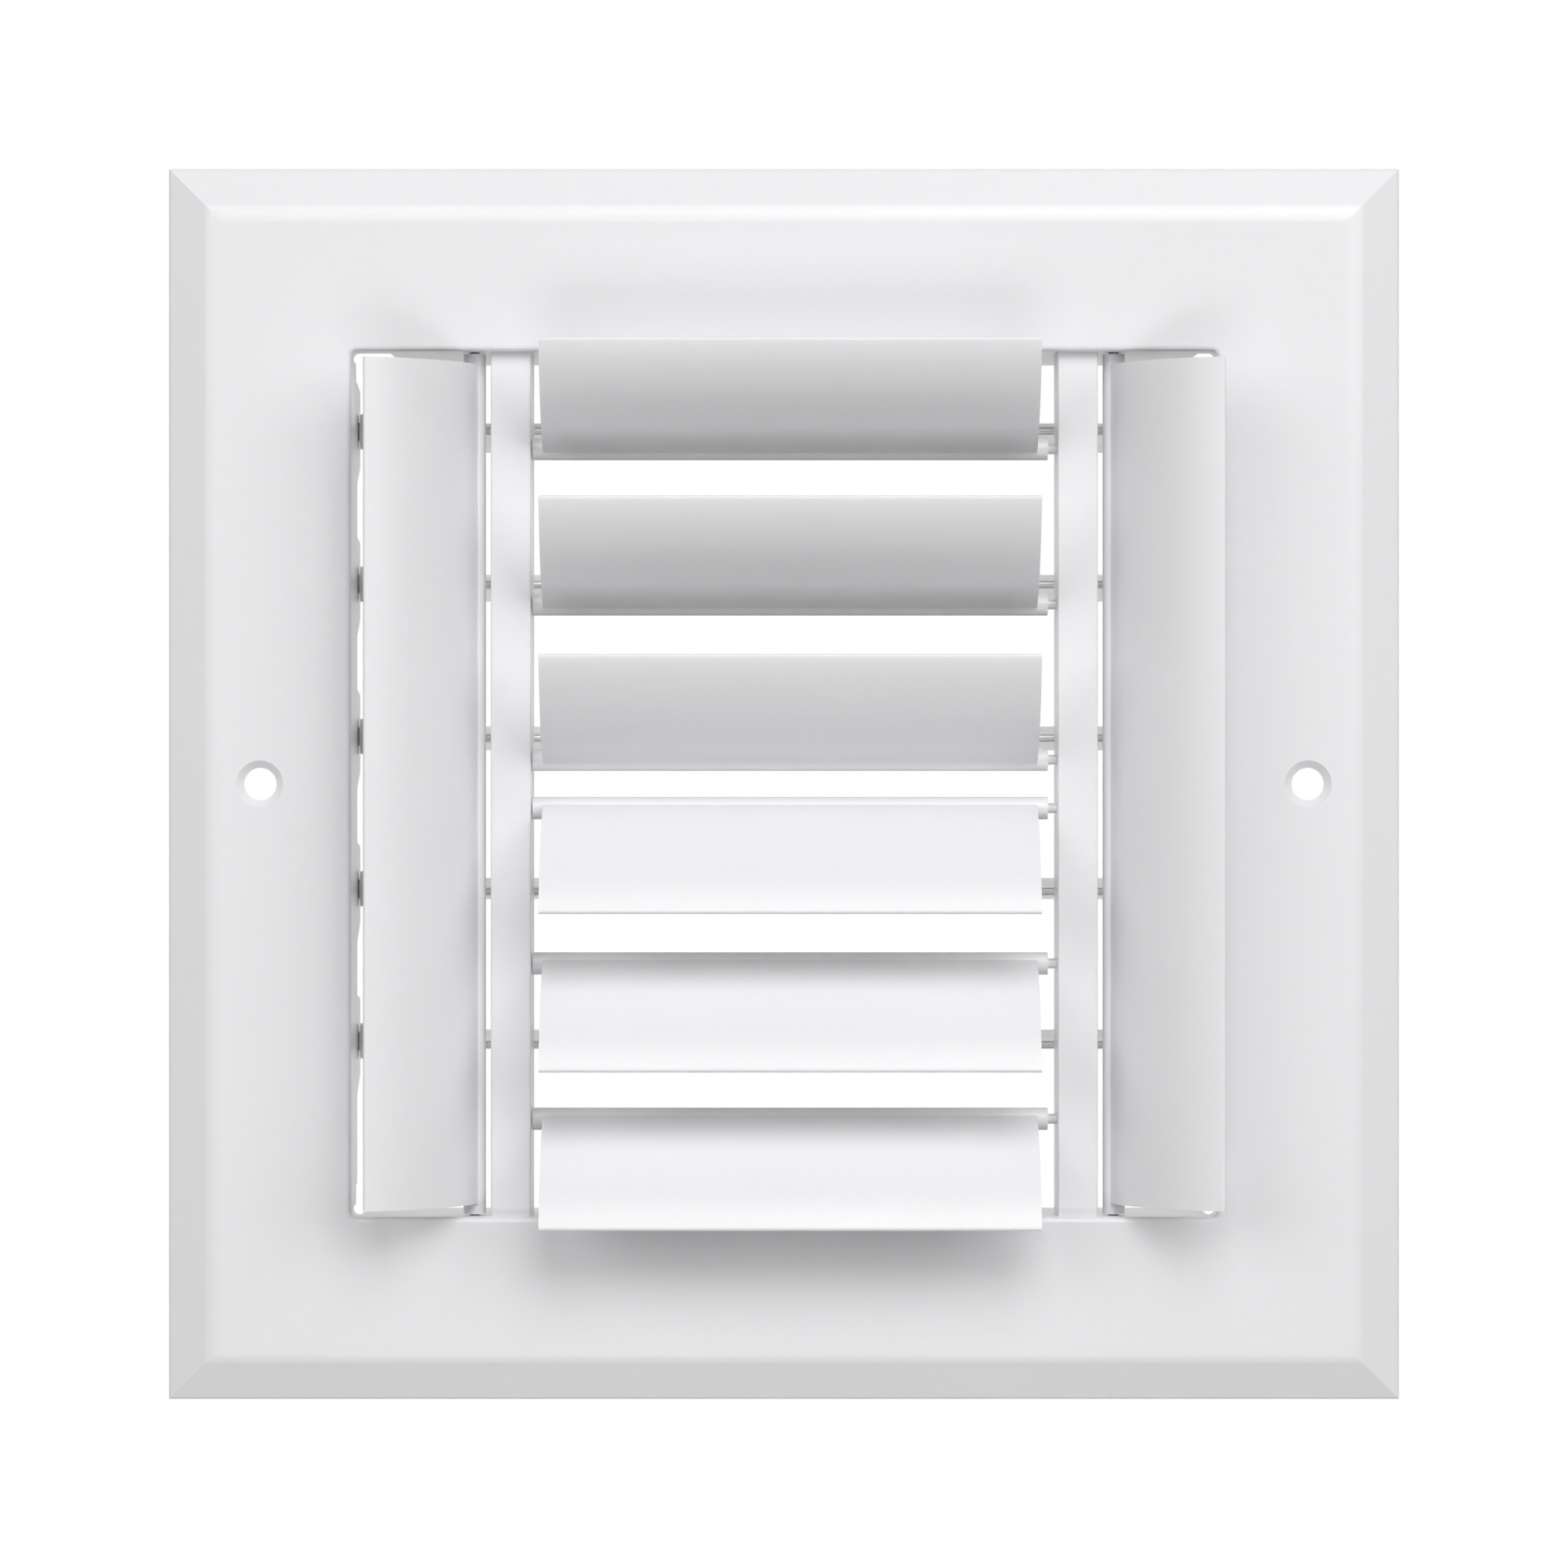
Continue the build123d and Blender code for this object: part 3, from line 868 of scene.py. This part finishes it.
@dataclass(frozen=True)
class SoftBox:
    """One area lamp, aimed at the middle of the register."""

    name: str
    place: tuple[float, float, float]
    size: tuple[float, float]
    power: float

    def build(self) -> None:
        """Make the lamp."""
        data = bpy.data.lights.new(self.name, "AREA")
        data.shape = "RECTANGLE"
        data.size, data.size_y = self.size
        data.energy = self.power
        lamp = bpy.data.objects.new(self.name, data)
        lamp.location = self.place
        aim = Vector((0, 0, 0)) - lamp.location
        lamp.rotation_euler = aim.to_track_quat("-Z", "Y").to_euler()
        bpy.context.scene.collection.objects.link(lamp)


@dataclass
class Studio:
    """White floor, soft boxes, a world that is bright behind the register, and the camera."""

    camera_distance: float = 1.0
    face_y: float = -5.0 * MM
    view_width: float = PHOTO_PIXELS / PIXELS_PER_MM * MM
    sensor: float = 36.0
    floor_z: float = -1.0
    floor_size: float = 2.0
    floor_y: float = 0.6
    front_level: float = 0.0
    back_level: float = 1.0
    turn_from: float = 0.1
    turn_to: float = 0.4
    lamps: tuple[SoftBox, ...] = (
        SoftBox("key_softbox", (0.20, -1.40, 1.11), (0.9, 1.0), 14.3),
        SoftBox("right_softbox", (0.97, -1.15, 0.55), (1.0, 1.0), 9.5),
        SoftBox("left_softbox", (-0.97, -1.15, 0.55), (1.0, 1.0), 8.4),
        SoftBox("low_softbox", (0.0, -1.15, -0.80), (0.9, 0.45), 4.4),
    )

    def build(self) -> None:
        """Make the floor, the light and the camera."""
        self._stage()
        self._world()
        for lamp in self.lamps:
            lamp.build()
        self._camera()
        bpy.context.scene.view_settings.view_transform = "Standard"

    def _stage(self) -> None:
        """Make the floor."""
        deselect_all()
        bpy.ops.mesh.primitive_plane_add(
            size=self.floor_size, location=(0, self.floor_y, self.floor_z)
        )
        floor = bpy.context.object
        floor.name = "floor"
        floor.data.materials.append(self._white())

    @staticmethod
    def _white() -> bpy.types.Material:
        """A pale surface that the camera and reflections see as plain white.

        Returns:
            The stage's material.
        """
        material = bpy.data.materials.new("studio_white")
        material.use_nodes = True
        nodes, links = material.node_tree.nodes, material.node_tree.links
        shader = nodes["Principled BSDF"]
        shader.inputs["Base Color"].default_value = (0.82, 0.82, 0.82, 1.0)
        shader.inputs["Roughness"].default_value = 0.9
        glow = nodes.new("ShaderNodeEmission")
        path = nodes.new("ShaderNodeLightPath")
        seen = nodes.new("ShaderNodeMath")
        seen.operation = "MAXIMUM"
        clear = nodes.new("ShaderNodeMath")
        clear.operation = "MAXIMUM"
        blend = nodes.new("ShaderNodeMixShader")
        links.new(path.outputs["Is Camera Ray"], seen.inputs[0])
        links.new(path.outputs["Is Glossy Ray"], seen.inputs[1])
        links.new(seen.outputs["Value"], clear.inputs[0])
        links.new(path.outputs["Is Transmission Ray"], clear.inputs[1])
        links.new(clear.outputs["Value"], blend.inputs["Fac"])
        links.new(shader.outputs["BSDF"], blend.inputs[1])
        links.new(glow.outputs["Emission"], blend.inputs[2])
        links.new(blend.outputs["Shader"], nodes["Material Output"].inputs["Surface"])
        return material

    def _world(self) -> None:
        """Light the world behind the register only, and show it white to the camera."""
        world = bpy.data.worlds.new("studio")
        world.use_nodes = True
        nodes, links = world.node_tree.nodes, world.node_tree.links
        light = nodes["Background"]
        light.inputs["Color"].default_value = (1.0, 1.0, 1.0, 1.0)
        place = nodes.new("ShaderNodeTexCoord")
        split = nodes.new("ShaderNodeSeparateXYZ")
        level = nodes.new("ShaderNodeMapRange")
        level.interpolation_type = "SMOOTHSTEP"
        level.inputs["From Min"].default_value = self.turn_from
        level.inputs["From Max"].default_value = self.turn_to
        level.inputs["To Min"].default_value = self.front_level
        level.inputs["To Max"].default_value = self.back_level
        links.new(place.outputs["Generated"], split.inputs["Vector"])
        links.new(split.outputs["Y"], level.inputs["Value"])
        links.new(level.outputs["Result"], light.inputs["Strength"])
        white = nodes.new("ShaderNodeBackground")
        white.inputs["Color"].default_value = (1.0, 1.0, 1.0, 1.0)
        white.inputs["Strength"].default_value = 1.0
        path = nodes.new("ShaderNodeLightPath")
        blend = nodes.new("ShaderNodeMixShader")
        links.new(path.outputs["Is Camera Ray"], blend.inputs["Fac"])
        links.new(light.outputs["Background"], blend.inputs[1])
        links.new(white.outputs["Background"], blend.inputs[2])
        links.new(blend.outputs["Shader"], nodes["World Output"].inputs["Surface"])
        bpy.context.scene.world = world

    def _camera(self) -> None:
        """Put the camera square in front of the face, at the photograph's distance."""
        data = bpy.data.cameras.new("camera")
        data.sensor_width = self.sensor
        data.lens = self.sensor * self.camera_distance / self.view_width
        data.clip_start = 0.01
        camera = bpy.data.objects.new("camera", data)
        camera.location = (0, self.face_y - self.camera_distance, 0)
        camera.rotation_euler = (math.pi / 2, 0, 0)
        bpy.context.scene.collection.objects.link(camera)
        bpy.context.scene.camera = camera


def main() -> None:
    """Build the register's pieces in order, then the studio round them."""
    logging.basicConfig(level=logging.INFO, format="%(name)s: %(message)s")
    finishes = Finishes()
    for assembly in (FaceFrame(), BladeCassette(), Damper()):
        assembly.build(finishes)
    Studio().build()
    log.info("the register is built")


if __name__ == "__main__":
    main()
